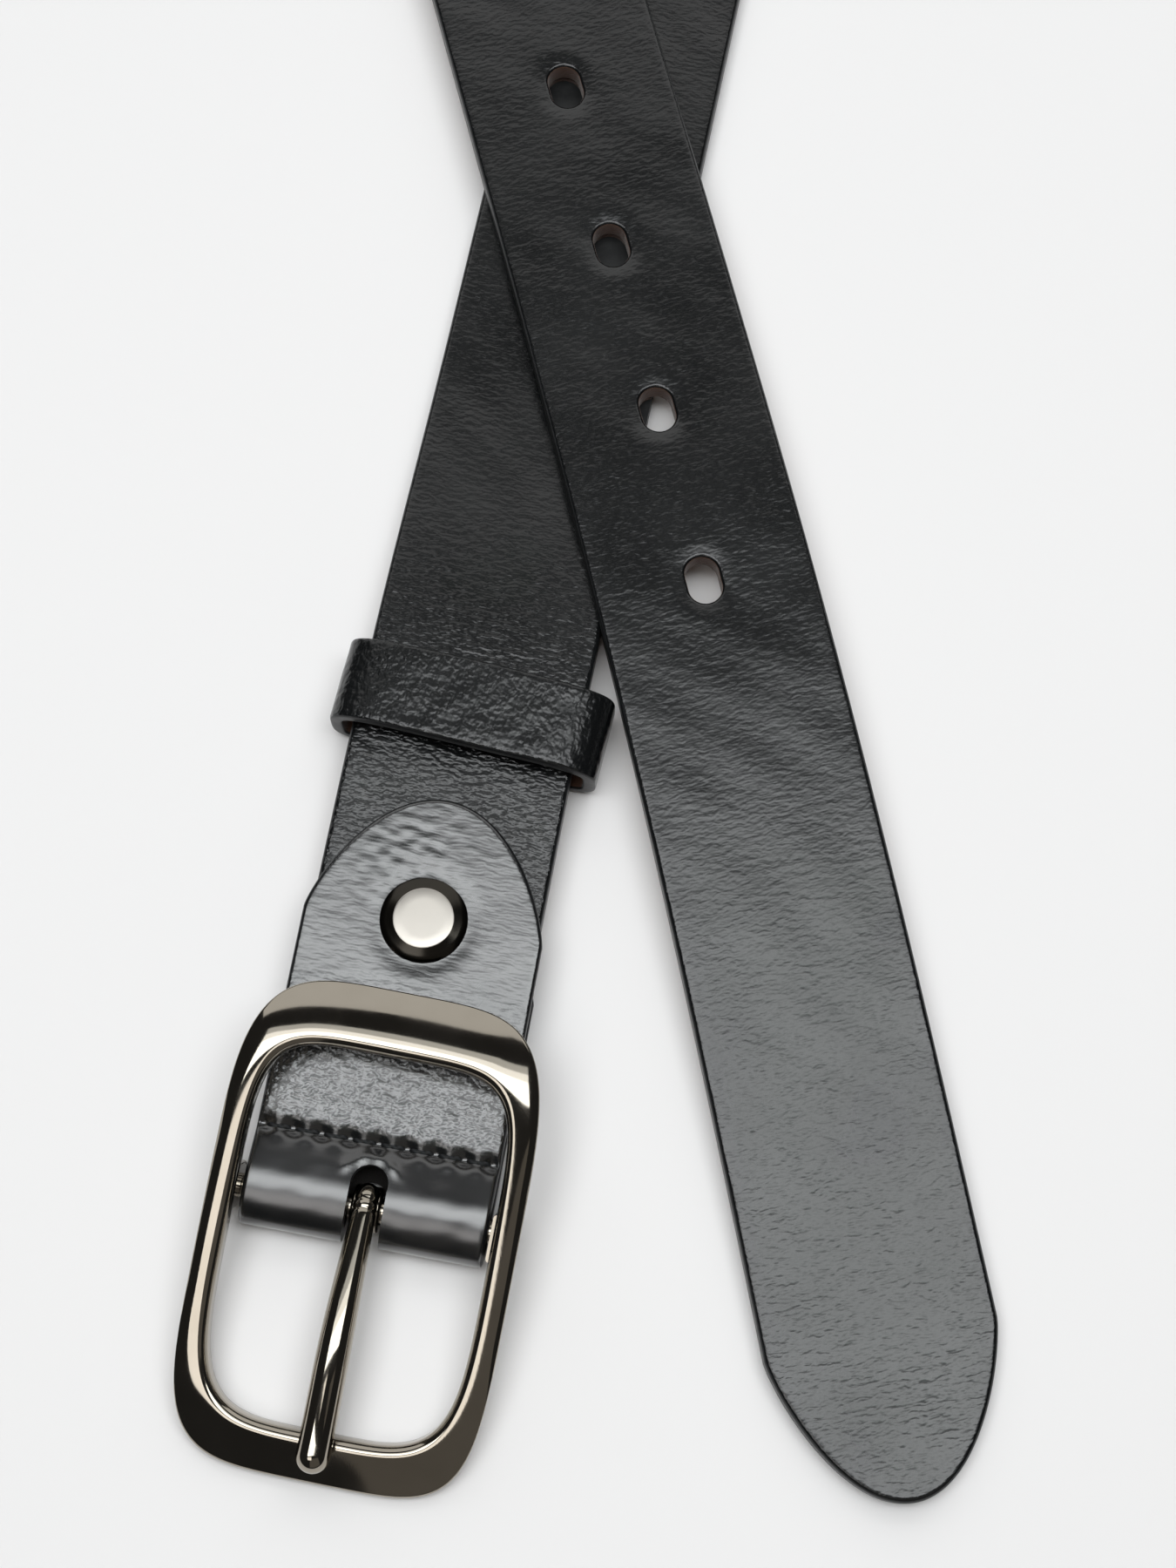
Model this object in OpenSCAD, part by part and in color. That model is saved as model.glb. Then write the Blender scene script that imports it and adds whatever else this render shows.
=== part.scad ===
// Dress belt with a swing frame buckle, laid out as a long loop.
// The buckle leg and the tip leg lie flat and cross each other. Behind the
// crossing the strap rolls onto its lower edge and closes in a round loop.
// Origin: middle of the footprint, on the table. +Y points to the far loop.

/* [Strap] */
// Width of the strap
strap_w = 30; // [24:1:40]
// Thickness of the black grain layer
face_t = 2; // [1.4:0.1:2.4]
// Thickness of the lining glued behind it
lining_t = 1.4; // [1:0.1:1.6]
// Length from the buckle bar to the tip
bar_to_tip = 1124; // [950:2:1400]
// Length of the tapered tip
tip_taper = 20; // [16:1:32]
// Distance from the tip to the first hole
tip_to_hole = 122; // [100:1:150]
// Distance between two holes
hole_pitch = 26; // [20:0.5:30]
// Number of holes
hole_count = 5; // [3:2:9]
// Width of an oval hole
hole_w = 4.6; // [4.4:0.1:6]
// Length of an oval hole
hole_l = 6.6; // [6.2:0.1:9]

/* [Lay] */
// Angle of the buckle leg from the belt's long axis
buckle_leg_angle = 11.7; // [9:0.1:16]
// Angle of the tip leg from the belt's long axis, at the crossing
tip_leg_angle = 14.5; // [10:0.1:18]
// Strap length from the bar to the crossing
bar_to_cross = 148; // [140:1:160]
// Strap length from the crossing to the tip
cross_to_tip = 185.5; // [170:0.5:200]
// Angle that the strap turns between the chape and the crossing
chape_turn = 1.2; // [0:0.1:3]
// Place of the bar's middle across the belt
bar_x = -22.4; // [-60:0.1:0]
// Place of the bar's middle along the belt
bar_y = -221.9; // [-300:0.1:-150]

/* [Chape] */
// Width of the chape
chape_w = 31.5; // [26:0.5:42]
// Thickness of the chape leather
chape_t = 1.8; // [1.6:0.1:2.2]
// Length of its front flap from the bar
flap_len = 53.4; // [48:0.1:60]
// Length of the flap's rounded point
flap_taper = 17; // [14:0.5:20]
// Length of its back flap from the bar
back_len = 42; // [40:0.5:45]
// Distance from the bar to the stitch row
stitch_y = 8; // [7:0.5:10]
// Number of stitches
stitch_count = 8; // [4:1:10]
// Distance from the bar to the rivet
rivet_y = 37.3; // [34:0.1:39]
// Width of the tongue slot
slot_w = 5; // [5:0.1:6]
// Reach of the tongue slot behind the bar
slot_reach = 4.6; // [4.4:0.1:5]

/* [Buckle] */
// Width of the frame
frame_w = 39.2; // [38:0.1:46]
// Width of the frame's window
window_w = 32.4; // [32.2:0.1:36]
// Reach of the frame beyond the bar, tip side
frame_front = 34.2; // [32:0.1:38]
// Reach of the frame behind the bar, strap side
frame_back = 28.8; // [27:0.1:32]
// Width of the end rail that the tongue rests on
end_rail_w = 6.1; // [5:0.1:7]
// Width of the top rail over the chape
top_rail_w = 9; // [8:0.1:10]
// Thickness of the frame
frame_t = 3.4; // [3:0.1:4]
// Slope of the frame, top rail up
frame_tilt = 12.5; // [12:0.5:14]
// Diameter of the bar
bar_d = 3.2; // [3.1:0.1:3.2]
// Diameter of the tongue
tongue_d = 4; // [3.6:0.1:4.2]
// Reach of the tongue's tip from the bar
tongue_reach = 33; // [31:0.5:34]

/* [Keeper] */
// Length of the keeper along the strap
keeper_len = 11.5; // [8:0.5:14]
// Width of the keeper outside
keeper_w = 36.5; // [36:0.5:38]
// Height of the keeper outside
keeper_h = 11.5; // [11:0.5:13]
// Thickness of its leather
keeper_t = 1.8; // [1.5:0.1:1.8]
// Distance from the bar to the keeper's middle
keeper_y = 66; // [64:0.1:66]

/* [Hidden] */
$fn = 96;

strap_t = face_t + lining_t;
chape_h = strap_t + 2 * chape_t;
bar_z = chape_h / 2;
hinge_gap = 0.1;
ring_step = 8;

// The strap's plan is a chain of straights and arcs, each [length, turn to the left].
chape_straight = 30;
chape_arc = 88;
cross_half = (buckle_leg_angle + tip_leg_angle) / 2;
leg_straight = 70;
flare_r = 400;
flare_turn = 12;
flare_len = flare_r * flare_turn * PI / 180;
tip_leg_turn = -4.1;

// Half of the loop: straight leg, outward flare, straight, then the round end.
// Its last straight and its radius follow from its length and from closing on
// the crossing, two linear conditions.
loop_half = (bar_to_tip - bar_to_cross - cross_to_tip) / 2;
open_angle = cross_half + flare_turn;
round_turn = 90 + open_angle;
rest_len = loop_half - leg_straight - flare_len;
leg_spread = leg_straight * sin(cross_half) + flare_r * (cos(cross_half) - cos(open_angle));
round_arc = round_turn * PI / 180;
round_r = (rest_len * sin(open_angle) + leg_spread)
    / (round_arc * sin(open_angle) + cos(open_angle));
mid_straight = rest_len - round_r * round_arc;

chain = [
    [chape_straight, 0],
    [chape_arc, -chape_turn],
    [bar_to_cross - chape_straight - chape_arc + leg_straight, 0],
    [flare_len, -flare_turn],
    [mid_straight, 0],
    [2 * round_r * round_arc, 2 * round_turn],
    [mid_straight, 0],
    [flare_len, -flare_turn],
    [leg_straight, 0],
    [cross_to_tip, tip_leg_turn]];

// A pose is [x, y, heading], with the heading turned left from +Y.
start_pose = [bar_x, bar_y, chape_turn - buckle_leg_angle];
function forward(h) = [-sin(h), cos(h)];
function rightward(h) = [cos(h), sin(h)];
function advance(p, len, turn) =
    let (chord = abs(turn) < 0.001 ? len : len * sin(turn / 2) / (turn * PI / 360),
        way = forward(p[2] + turn / 2))
    [p[0] + chord * way[0], p[1] + chord * way[1], p[2] + turn];
function pose_at(s, i = 0, p = start_pose) =
    (s <= chain[i][0] || i == len(chain) - 1)
        ? advance(p, s, chain[i][1] * s / chain[i][0])
        : pose_at(s - chain[i][0], i + 1, advance(p, chain[i][0], chain[i][1]));

// Lift of the strap's underside and its roll, along the strap.
function ease(s, a, b) = let (t = min(1, max(0, (s - a) / (b - a)))) t * t * (3 - 2 * t);
second_cross = bar_to_cross + 2 * loop_half;
overlap_half = 66;
tip_down = cross_to_tip - 5.5;
lower_end = 73;
table_start = 92;
roll_start = bar_to_cross + 68;
roll_len = 120;
roll_end = second_cross - 68;
cross_lift = strap_t + 0.3;
edge_lift = cross_lift + 0.8;
function lift(s) = chape_t * (1 - ease(s, lower_end, table_start))
    + cross_lift * (ease(s, roll_end - 40, second_cross - overlap_half)
        - ease(s, second_cross + overlap_half + 2, second_cross + tip_down))
    + (edge_lift - cross_lift) * (ease(s, second_cross + 22, second_cross + 62)
        - ease(s, second_cross + overlap_half + 2, second_cross + tip_down));
function roll(s) = 90 * (ease(s, roll_start, roll_start + roll_len)
    - ease(s, roll_end - roll_len, roll_end));

// Share of the full width at t, from 0 at the tip to 1 where the sides run straight.
point = 1.3;
belly = 0.5;
function taper(t) = pow(1 - pow(1 - min(1, t), point), belly);
function half_width(s) = max(0.6, strap_w / 2 * taper((bar_to_tip - s) / tip_taper));

// Corners of the strap's section at s, for the layer between lo and hi.
function section(s, lo, hi) =
    let (p = pose_at(s), side = rightward(p[2]), r = roll(s), hw = half_width(s),
        zc = lift(s) + strap_w / 2 * sin(r) + strap_t / 2 * cos(r))
    [for (c = [[-hw, lo], [hw, lo], [hw, hi], [-hw, hi]])
        let (a = c[0] * cos(r) + c[1] * sin(r))
        [p[0] + a * side[0], p[1] + a * side[1], zc - c[0] * sin(r) + c[1] * cos(r)]];

core_start = slot_reach + 0.6;
taper_start = bar_to_tip - tip_taper;
body_rings = ceil((taper_start - core_start) / ring_step);
tip_rings = 12;
stations = [
    for (i = [0 : body_rings - 1]) core_start + (taper_start - core_start) * i / body_rings,
    for (i = [0 : tip_rings]) bar_to_tip - tip_taper * pow(1 - i / tip_rings, 1.6)];

module strap_layer(lo, hi) {
    n = len(stations);
    points = [for (s = stations) for (c = section(s, lo, hi)) c];
    sides = [for (i = [0 : n - 2])
        let (a = 4 * i, b = 4 * i + 4) each [
            [a, a + 1, b + 1], [a, b + 1, b],
            [a + 1, a + 2, b + 2], [a + 1, b + 2, b + 1],
            [a + 3, b + 2, a + 2], [a + 3, b + 3, b + 2],
            [a, b, b + 3], [a, b + 3, a + 3]]];
    last = 4 * (n - 1);
    ends = [[0, 3, 2], [0, 2, 1], [last, last + 1, last + 2], [last, last + 2, last + 3]];
    polyhedron(points, concat(sides, ends));
}

// Puts children where the strap runs at s: +X to its right, +Y ahead, on the table.
module at_strap(s) {
    p = pose_at(s);
    translate([p[0], p[1], 0]) rotate(p[2]) children();
}

module at_bar() at_strap(0) children();

module slot_shape(w, l) {
    for (y = [-1, 1]) translate([0, y * (l - w) / 2]) circle(d = w);
    square([w, l - w], center = true);
}

module strap_holes() {
    for (i = [0 : hole_count - 1]) at_strap(bar_to_tip - tip_to_hole - i * hole_pitch)
        translate([0, 0, -1]) linear_extrude(strap_t + 12) slot_shape(hole_w, hole_l);
}

thread_d = 0.8;
stitch_pitch = 3.7;
module stitch_holes(h) {
    for (i = [0 : stitch_count]) translate([(i - stitch_count / 2) * stitch_pitch, stitch_y, -1])
        cylinder(d = thread_d, h = h + 2);
}

post_d = 4;
module post_hole() translate([0, rivet_y, -1]) cylinder(d = post_d, h = chape_h + 2);

module strap_face() color("#232729") difference() {
    strap_layer(lining_t - strap_t / 2, strap_t / 2);
    strap_holes();
    at_bar() post_hole();
    at_bar() stitch_holes(chape_h);
}

module strap_lining() color("#8a6f60") difference() {
    strap_layer(-strap_t / 2, lining_t - strap_t / 2);
    strap_holes();
    at_bar() post_hole();
    at_bar() stitch_holes(chape_h);
}

// Side view of the folded chape, in the plane of its length and height.
module chape_side() {
    translate([0, chape_h - chape_t]) square([flap_len, chape_t]);
    square([back_len, chape_t]);
    translate([0, bar_z]) difference() {
        circle(d = chape_h);
        circle(d = bar_d + 2 * hinge_gap);
        translate([0, -chape_h]) square(2 * chape_h);
    }
}

// Plan of the chape, square at the fold and tapered at its free end.
end_steps = 16;
module chape_plan(len, end_len) {
    side = [for (i = [0 : end_steps]) let (t = pow(1 - i / end_steps, 2))
        [chape_w / 2 * taper(t), len - end_len * t]];
    other = [for (i = [end_steps - 1 : -1 : 0]) [-side[i][0], side[i][1]]];
    polygon(concat([[-chape_w / 2, -chape_h], [chape_w / 2, -chape_h]], side, other));
}

back_taper = 12;
rivet_back_d = 10;
rivet_back_t = 0.9;
module chape() color("#26292b") at_bar() difference() {
    intersection() {
        rotate([90, 0, 90]) translate([0, 0, -chape_w / 2]) linear_extrude(chape_w) chape_side();
        union() {
            translate([0, 0, bar_z]) linear_extrude(chape_h) chape_plan(flap_len, flap_taper);
            translate([0, 0, -1]) linear_extrude(bar_z + 1) chape_plan(back_len, back_taper);
        }
    }
    translate([-slot_w / 2, -chape_h, -1]) cube([slot_w, chape_h + slot_reach, chape_h + 2]);
    post_hole();
    translate([0, rivet_y, -1]) cylinder(d = rivet_back_d, h = 1 + rivet_back_t);
    stitch_holes(chape_h);
}

// Lock stitches: a thread through every hole, and a run on both faces.
module chape_stitching() color("#141414") at_bar() {
    row = stitch_count * stitch_pitch;
    for (i = [0 : stitch_count]) translate([(i - stitch_count / 2) * stitch_pitch, stitch_y, 0.01])
        cylinder(d = thread_d, h = chape_h - 0.02 + thread_d / 2);
    translate([-row / 2, stitch_y, chape_h + thread_d / 2 - 0.01])
        rotate([0, 90, 0]) cylinder(d = thread_d, h = row);
}

cap_d = 11.5;
cap_flat_d = 8.1;
cap_t = 1;
cap_socket = 0.6;
module rivet_cap() color("#e6e3df") at_bar() translate([0, rivet_y, chape_h]) difference() {
    rotate_extrude() polygon([[0, 0], [cap_d / 2, 0], [cap_d / 2, 0.3],
        [cap_flat_d / 2, cap_t], [0, cap_t]]);
    translate([0, 0, -1]) cylinder(d = post_d, h = 1 + cap_socket);
}

module rivet_post() color("#b9b4ae") at_bar() translate([0, rivet_y, rivet_back_t])
    cylinder(d = post_d, h = chape_h - rivet_back_t + cap_socket);

module rivet_back() color("#b9b4ae") at_bar() translate([0, rivet_y, 0.05])
    cylinder(d = rivet_back_d, h = rivet_back_t - 0.05);

module rounded_rect(w, l, r) {
    square([w - 2 * r, l], center = true);
    square([w, l - 2 * r], center = true);
    for (x = [-1, 1]) for (y = [-1, 1]) translate([x * (w / 2 - r), y * (l / 2 - r)]) circle(r = r);
}

// The frame slopes about the bar: its end rail touches the table and its top
// rail stands clear above the chape, so that the free end passes under it.
frame_low = (frame_front * sin(frame_tilt) - bar_z + 0.05) / cos(frame_tilt);
ear_w = (frame_w - window_w) / 2;
ear_r = 3;
outer_r = 10;
inner_r = 8;
module buckle_frame() color("#3a3632") at_bar() translate([0, 0, bar_z]) rotate([frame_tilt, 0, 0])
    difference() {
        union() {
            translate([0, (frame_back - frame_front) / 2, frame_low]) linear_extrude(frame_t)
                difference() {
                    rounded_rect(frame_w, frame_back + frame_front, outer_r);
                    translate([0, (end_rail_w - top_rail_w) / 2]) rounded_rect(window_w,
                        frame_back + frame_front - end_rail_w - top_rail_w, inner_r);
                }
            for (side = [-1, 1]) translate([side * (frame_w - ear_w) / 2, 0, 0])
                rotate([0, 90, 0]) translate([0, 0, -ear_w / 2]) {
                    cylinder(r = ear_r, h = ear_w);
                    translate([-frame_low - 0.5, -ear_r, 0]) cube([frame_low + 0.5, 2 * ear_r, ear_w]);
                }
        }
        rotate([0, 90, 0]) cylinder(d = bar_d, h = frame_w + 2, center = true);
    }

module buckle_bar() color("#4a4640") at_bar() translate([0, 0, bar_z]) rotate([0, 90, 0])
    cylinder(d = bar_d, h = frame_w - 0.8, center = true);

tongue_eye_d = 6.4;
tongue_eye_w = 4.4;
tongue_bore_d = bar_d + 0.1;
tongue_rise = 0.9;
tongue_angle = 5;
module tongue() color("#45413c") at_bar() translate([0, 0, bar_z]) difference() {
    union() {
        rotate([0, 90, 0]) cylinder(d = tongue_eye_d, h = tongue_eye_w, center = true);
        translate([0, 0, tongue_rise]) rotate([90 - tongue_angle, 0, 0]) {
            cylinder(d = tongue_d, h = tongue_reach - tongue_d / 2);
            translate([0, 0, tongue_reach - tongue_d / 2]) sphere(d = tongue_d);
        }
    }
    rotate([0, 90, 0]) cylinder(d = tongue_bore_d, h = tongue_eye_w + 2, center = true);
}

// The keeper's lower layer runs under the strap, and its ends meet there.
keeper_low_t = 1.5;
keeper_side = 0.45;
keeper_r = 3;
keeper_inner_r = 1.2;
staple_w = 7;
staple_wire = 0.6;
module keeper_space() translate([0, (keeper_low_t + keeper_h - keeper_t) / 2])
    rounded_rect(keeper_w - 2 * keeper_t, keeper_h - keeper_t - keeper_low_t, keeper_inner_r);
module staple_solid() {
    translate([-staple_w / 2, -0.5, 0.1]) cube([staple_w, 1, staple_wire]);
    for (side = [-1, 1]) translate([side * (staple_w - staple_wire) / 2 - staple_wire / 2, -0.5, 0.1])
        cube([staple_wire, 1, keeper_low_t - 0.2]);
}
module keeper_band() color("#26292b") at_strap(keeper_y) translate([keeper_side, 0, 0]) difference() {
    rotate([90, 0, 0]) translate([0, 0, -keeper_len / 2]) linear_extrude(keeper_len) difference() {
        translate([0, keeper_h / 2]) rounded_rect(keeper_w, keeper_h, keeper_r);
        keeper_space();
    }
    translate([-0.1, -keeper_len, -1]) cube([0.2, 2 * keeper_len, 1.01 + keeper_low_t]);
    staple_solid();
    translate([-staple_w / 2, -0.5, -1]) cube([staple_w, 1, 1.2]);
}

module keeper_staple() color("#9c9892") at_strap(keeper_y) translate([keeper_side, 0, 0]) staple_solid();

strap_face();
strap_lining();
chape();
chape_stitching();
rivet_cap();
rivet_post();
rivet_back();
buckle_frame();
buckle_bar();
tongue();
keeper_band();
keeper_staple();
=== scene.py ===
import bmesh
import bpy
import numpy as np
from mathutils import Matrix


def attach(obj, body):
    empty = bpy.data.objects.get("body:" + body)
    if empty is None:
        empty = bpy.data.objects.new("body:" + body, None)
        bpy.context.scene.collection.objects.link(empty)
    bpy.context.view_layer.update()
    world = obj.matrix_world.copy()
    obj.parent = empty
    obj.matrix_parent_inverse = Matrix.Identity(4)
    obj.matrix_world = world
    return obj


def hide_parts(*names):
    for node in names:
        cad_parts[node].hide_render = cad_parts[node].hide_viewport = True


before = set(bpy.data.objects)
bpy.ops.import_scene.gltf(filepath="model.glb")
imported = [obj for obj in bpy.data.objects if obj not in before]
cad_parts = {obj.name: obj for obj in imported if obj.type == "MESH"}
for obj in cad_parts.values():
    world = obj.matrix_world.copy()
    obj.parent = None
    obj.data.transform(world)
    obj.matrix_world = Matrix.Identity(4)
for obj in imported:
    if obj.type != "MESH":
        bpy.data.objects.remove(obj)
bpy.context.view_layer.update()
millimetre = 0.001
mergeReach = 2e-6    # metres, points closer than this are one


# Quads of a grid of points: corner k, its neighbour in the row, and the same two in the next row.
def gridQuads(rows, columns):
    k = np.arange(rows * columns).reshape(rows, columns)
    return np.stack([k[:-1, :-1], k[:-1, 1:], k[1:, 1:], k[1:, :-1]], -1).reshape(-1, 4)


# Turns points in millimetres and their faces into a closed object: equal points are
# merged, empty faces go with them, and the rest are turned to face outwards.
def makeObject(name, points, quads, caps, materials, faceMaterial=None, uv=None):
    mesh = bpy.data.meshes.new(name)
    mesh.from_pydata((points * millimetre).tolist(), [], quads.tolist() + caps)
    for material in materials:
        mesh.materials.append(material)
    if faceMaterial is not None:
        index = np.concatenate([faceMaterial, np.full(len(caps), 1 if len(materials) > 1 else 0)])
        mesh.polygons.foreach_set("material_index", index.astype(np.int32))
    if uv is not None:
        corner = np.zeros(len(mesh.loops), np.int32)
        mesh.loops.foreach_get("vertex_index", corner)
        layer = mesh.uv_layers.new(name="grainUv")
        layer.data.foreach_set("uv", (uv[corner] * millimetre).astype(np.float32).ravel())
    work = bmesh.new()
    work.from_mesh(mesh)
    bmesh.ops.remove_doubles(work, verts=work.verts, dist=mergeReach)
    bmesh.ops.recalc_face_normals(work, faces=work.faces)
    work.to_mesh(mesh)
    work.free()
    piece = bpy.data.objects.new(name, mesh)
    bpy.context.scene.collection.objects.link(piece)
    return piece


# Joins or cuts a piece with another one, bakes the result into its mesh, removes the other.
def combine(piece, other, operation):
    change = piece.modifiers.new("combine", "BOOLEAN")
    change.operation = operation
    change.solver = "EXACT"
    change.material_mode = "INDEX"
    change.object = other
    bpy.context.view_layer.update()
    seen = piece.evaluated_get(bpy.context.evaluated_depsgraph_get())
    result = bpy.data.meshes.new_from_object(seen)
    piece.modifiers.clear()
    piece.data = result
    bpy.data.objects.remove(other)
    return piece


# Shades a finished piece, with a hard edge where faces meet at more than the angle, and says
# what it rides on and which CAD nodes it stands for.
def settle(piece, body, nodes, angle=35):
    piece.data.shade_smooth()
    piece.data.set_sharp_from_angle(angle=np.radians(angle))
    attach(piece, body)
    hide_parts(*nodes)


# Smoothstep from 0 at a to 1 at b: 3t^2 - 2t^3.
def ease(s, a, b):
    t = np.clip((s - a) / (b - a), 0, 1)
    return t * t * (3 - 2 * t)


# Bump of height 1 at distance 0 that falls as exp(-(d/width)^2).
def hump(d, width):
    return np.exp(-(d / width) ** 2)


# Uneven surface: a sum of cosine waves with seeded directions, wavelengths and phases,
# divided by 1.6 times the root of half their number so that it stays near -1 to 1.
def unevenness(x, y, seed, shortest, longest, across=1.0, waves=16):
    draw = np.random.default_rng(seed)
    total = np.zeros(np.broadcast(x, y).shape)
    for _ in range(waves):
        length = shortest * (longest / shortest) ** draw.random()
        way = draw.random() * 2 * np.pi
        phase = draw.random() * 2 * np.pi
        turn = 2 * np.pi / length
        total += np.cos(turn * (x * np.cos(way) * across + y * np.sin(way)) + phase)
    return total / np.sqrt(waves / 2) / 1.6


# Corner cutting: each round replaces an edge by its points at one and three quarters.
def smoothLine(points, rounds=3):
    line = np.array(points, float)
    for _ in range(rounds):
        near = 0.75 * line[:-1] + 0.25 * line[1:]
        far = 0.25 * line[:-1] + 0.75 * line[1:]
        pairs = np.stack([near, far], 1).reshape(-1, line.shape[1])
        line = np.concatenate([line[:1], pairs, line[-1:]])
    return line


# A plane line with its running length and its normals, the tangent turned a quarter left.
def measuredLine(points, rounds=3):
    line = smoothLine(points, rounds)
    step = np.linalg.norm(np.diff(line, axis=0), axis=1)
    length = np.concatenate([[0], np.cumsum(step)])
    way = np.gradient(line, length, axis=0)
    way /= np.linalg.norm(way, axis=1)[:, None]
    return {"length": length, "points": line, "normals": np.stack([-way[:, 1], way[:, 0]], 1)}


# The point of a measured line at running length q, moved by up along its normal.
def onLine(line, q, up):
    parts = [np.interp(q, line["length"], line["points"][:, k]) for k in (0, 1)]
    turns = [np.interp(q, line["length"], line["normals"][:, k]) for k in (0, 1)]
    size = np.hypot(turns[0], turns[1])
    return parts[0] + up * turns[0] / size, parts[1] + up * turns[1] / size


# Closed section of a leather strip, as columns of (share of half width, inset from the
# outline, height, extra width on the surface, relief, material): under side from its middle,
# right edge, upper side from right to left, left edge, and back to the middle. Edge paint
# ends where the relief passes paintShare.
def stripColumns(low, high, lowRound, topRound, lowSteps, topSteps, paintShare=0.5):
    quarter = np.radians(np.linspace(0, 90, 6))
    lowIn = lowRound * (1 - np.sin(quarter))
    lowUp = low + lowRound * (1 - np.cos(quarter))
    topIn = topRound * (1 - np.cos(quarter))
    topUp = high - topRound * (1 - np.sin(quarter))
    edgeIn = np.concatenate([lowIn, topIn])
    edgeUp = np.concatenate([lowUp, topUp])
    travel = np.concatenate([[0], np.cumsum(np.hypot(np.diff(edgeIn), np.diff(edgeUp)))])
    extra = travel[-1] - travel
    relief = np.concatenate([0 * lowIn, np.sin(quarter) ** 2])
    paint = np.where(relief > paintShare, 0, 1)
    one = np.ones(len(edgeIn))
    lowShare = np.linspace(0, 1, lowSteps + 1)
    topShare = np.linspace(1, -1, topSteps + 1)
    under = [[a, lowRound, low, 0, 0, 2] for a in lowShare]
    right = np.stack([one, edgeIn, edgeUp, extra, relief, paint], 1).tolist()
    upper = [[a, topRound, high, 0, 1, 0] for a in topShare]
    left = np.stack([-one, edgeIn, edgeUp, -extra, relief, paint], 1)[::-1].tolist()
    left = [row[:5] + [following[5]] for row, following in zip(left, left[1:] + [left[-1]])]
    backUnder = [[-a, lowRound, low, 0, 0, 2] for a in lowShare[::-1]]
    return np.array(under + right + upper + left + backUnder)


bluntEnd = 0.5    # mm of half width, below which an end has come to a point


# A leather strip. At each station the outline is half a width away, with the normal
# (ds, -dw); a column sits at share * (width - inset * normal) across and its height up,
# and place() carries (along, across, up) to the row frame. A blunt end gets a cap.
def leatherStrip(name, place, stations, halfWidth, columns, materials, relief=None):
    width = halfWidth(stations)
    run, drop = np.gradient(stations), -np.gradient(width)
    size = np.hypot(run, drop)
    share, inset, up, extra, soft = columns[:, :5].T
    normalAcross, normalAlong = (run / size)[:, None], (drop / size)[:, None]
    along = stations[:, None] - inset * normalAlong
    across = share * np.maximum(width[:, None] - inset * normalAcross, 0)
    height = np.broadcast_to(up, along.shape)
    if relief is not None:
        height = height + soft * relief(along, across)
    points = np.stack(place(along, across, height), -1).reshape(-1, 3)
    uv = np.stack([across + extra, along], -1).reshape(-1, 2)
    rows, count = along.shape
    quads = gridQuads(rows, count)
    faceMaterial = np.tile(columns[:-1, 5], rows - 1)
    caps = []
    for row in (0, rows - 1):
        if width[row] > bluntEnd:
            caps.append((np.arange(count) + row * count).tolist())
    return makeObject(name, points, quads, caps, materials, faceMaterial, uv)


# A solid of revolution about an upright axis: (radius, height) turned full circle.
def turned(name, profile, place, materials, steps=96):
    angle = np.linspace(0, 2 * np.pi, steps + 1)[:, None]
    radius, height = np.array(profile, float).T
    x, y = radius * np.cos(angle), radius * np.sin(angle)
    points = np.stack(place(x, y, np.broadcast_to(height, x.shape)), -1).reshape(-1, 3)
    return makeObject(name, points, gridQuads(steps + 1, len(radius)), [], materials)


# A closed outline carried in rows: the quads between the rows and a cap at both ends.
def prismFaces(rows, count):
    ring = np.arange(count)
    after = (ring + 1) % count
    step = (np.arange(rows - 1) * count)[:, None]
    quads = np.stack([ring + step, after + step, after + step + count, ring + step + count], -1)
    return quads.reshape(-1, 4), [ring.tolist(), (ring + (rows - 1) * count).tolist()]


# Outline by polar angle: radius = ((cos/a)^p + (sin/b)^p)^(-1/p), with a separate power
# for the upper and the lower half.
def polarOutline(shape, angle):
    a, b = shape["half"]
    power = np.where(np.sin(angle) >= 0, shape["top"], shape["bottom"])
    sums = (np.abs(np.cos(angle)) / a) ** power + (np.abs(np.sin(angle)) / b) ** power
    radius = sums ** (-1 / power)
    return radius * np.cos(angle) + shape["centre"][0], radius * np.sin(angle) + shape["centre"][1]


# The one way colours come in: an sRGB hex value turned to linear light.
def colour(code):
    parts = np.array([int(code[k:k + 2], 16) for k in (1, 3, 5)]) / 255
    linear = np.where(parts <= 0.04045, parts / 12.92, ((parts + 0.055) / 1.055) ** 2.4)
    return (*linear.tolist(), 1.0)


# Adds one node. Settings name its inputs or its properties, and links name its inputs.
def addNode(tree, kind, settings=None, links=None):
    node = tree.nodes.new(kind)
    for key, value in (settings or {}).items():
        if isinstance(key, int) or key in node.inputs:
            node.inputs[key].default_value = value
        else:
            setattr(node, key, value)
    for key, source in (links or {}).items():
        tree.links.new(source, node.inputs[key])
    return node


# An empty material with its shader, whose uniform values are set on its own sockets, and the
# coordinates that its pattern follows: the surface's own, or the object's for a hard piece.
def newMaterial(name, uniform, onSurface=True):
    material = bpy.data.materials.new(name)
    material.use_nodes = True
    tree = material.node_tree
    shader = tree.nodes["Principled BSDF"]
    for key, value in uniform.items():
        shader.inputs[key].default_value = value
    if onSurface:
        return material, tree, shader, addNode(tree, "ShaderNodeUVMap", {"uv_map": "grainUv"}).outputs["UV"]
    return material, tree, shader, addNode(tree, "ShaderNodeTexCoord").outputs["Object"]


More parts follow.
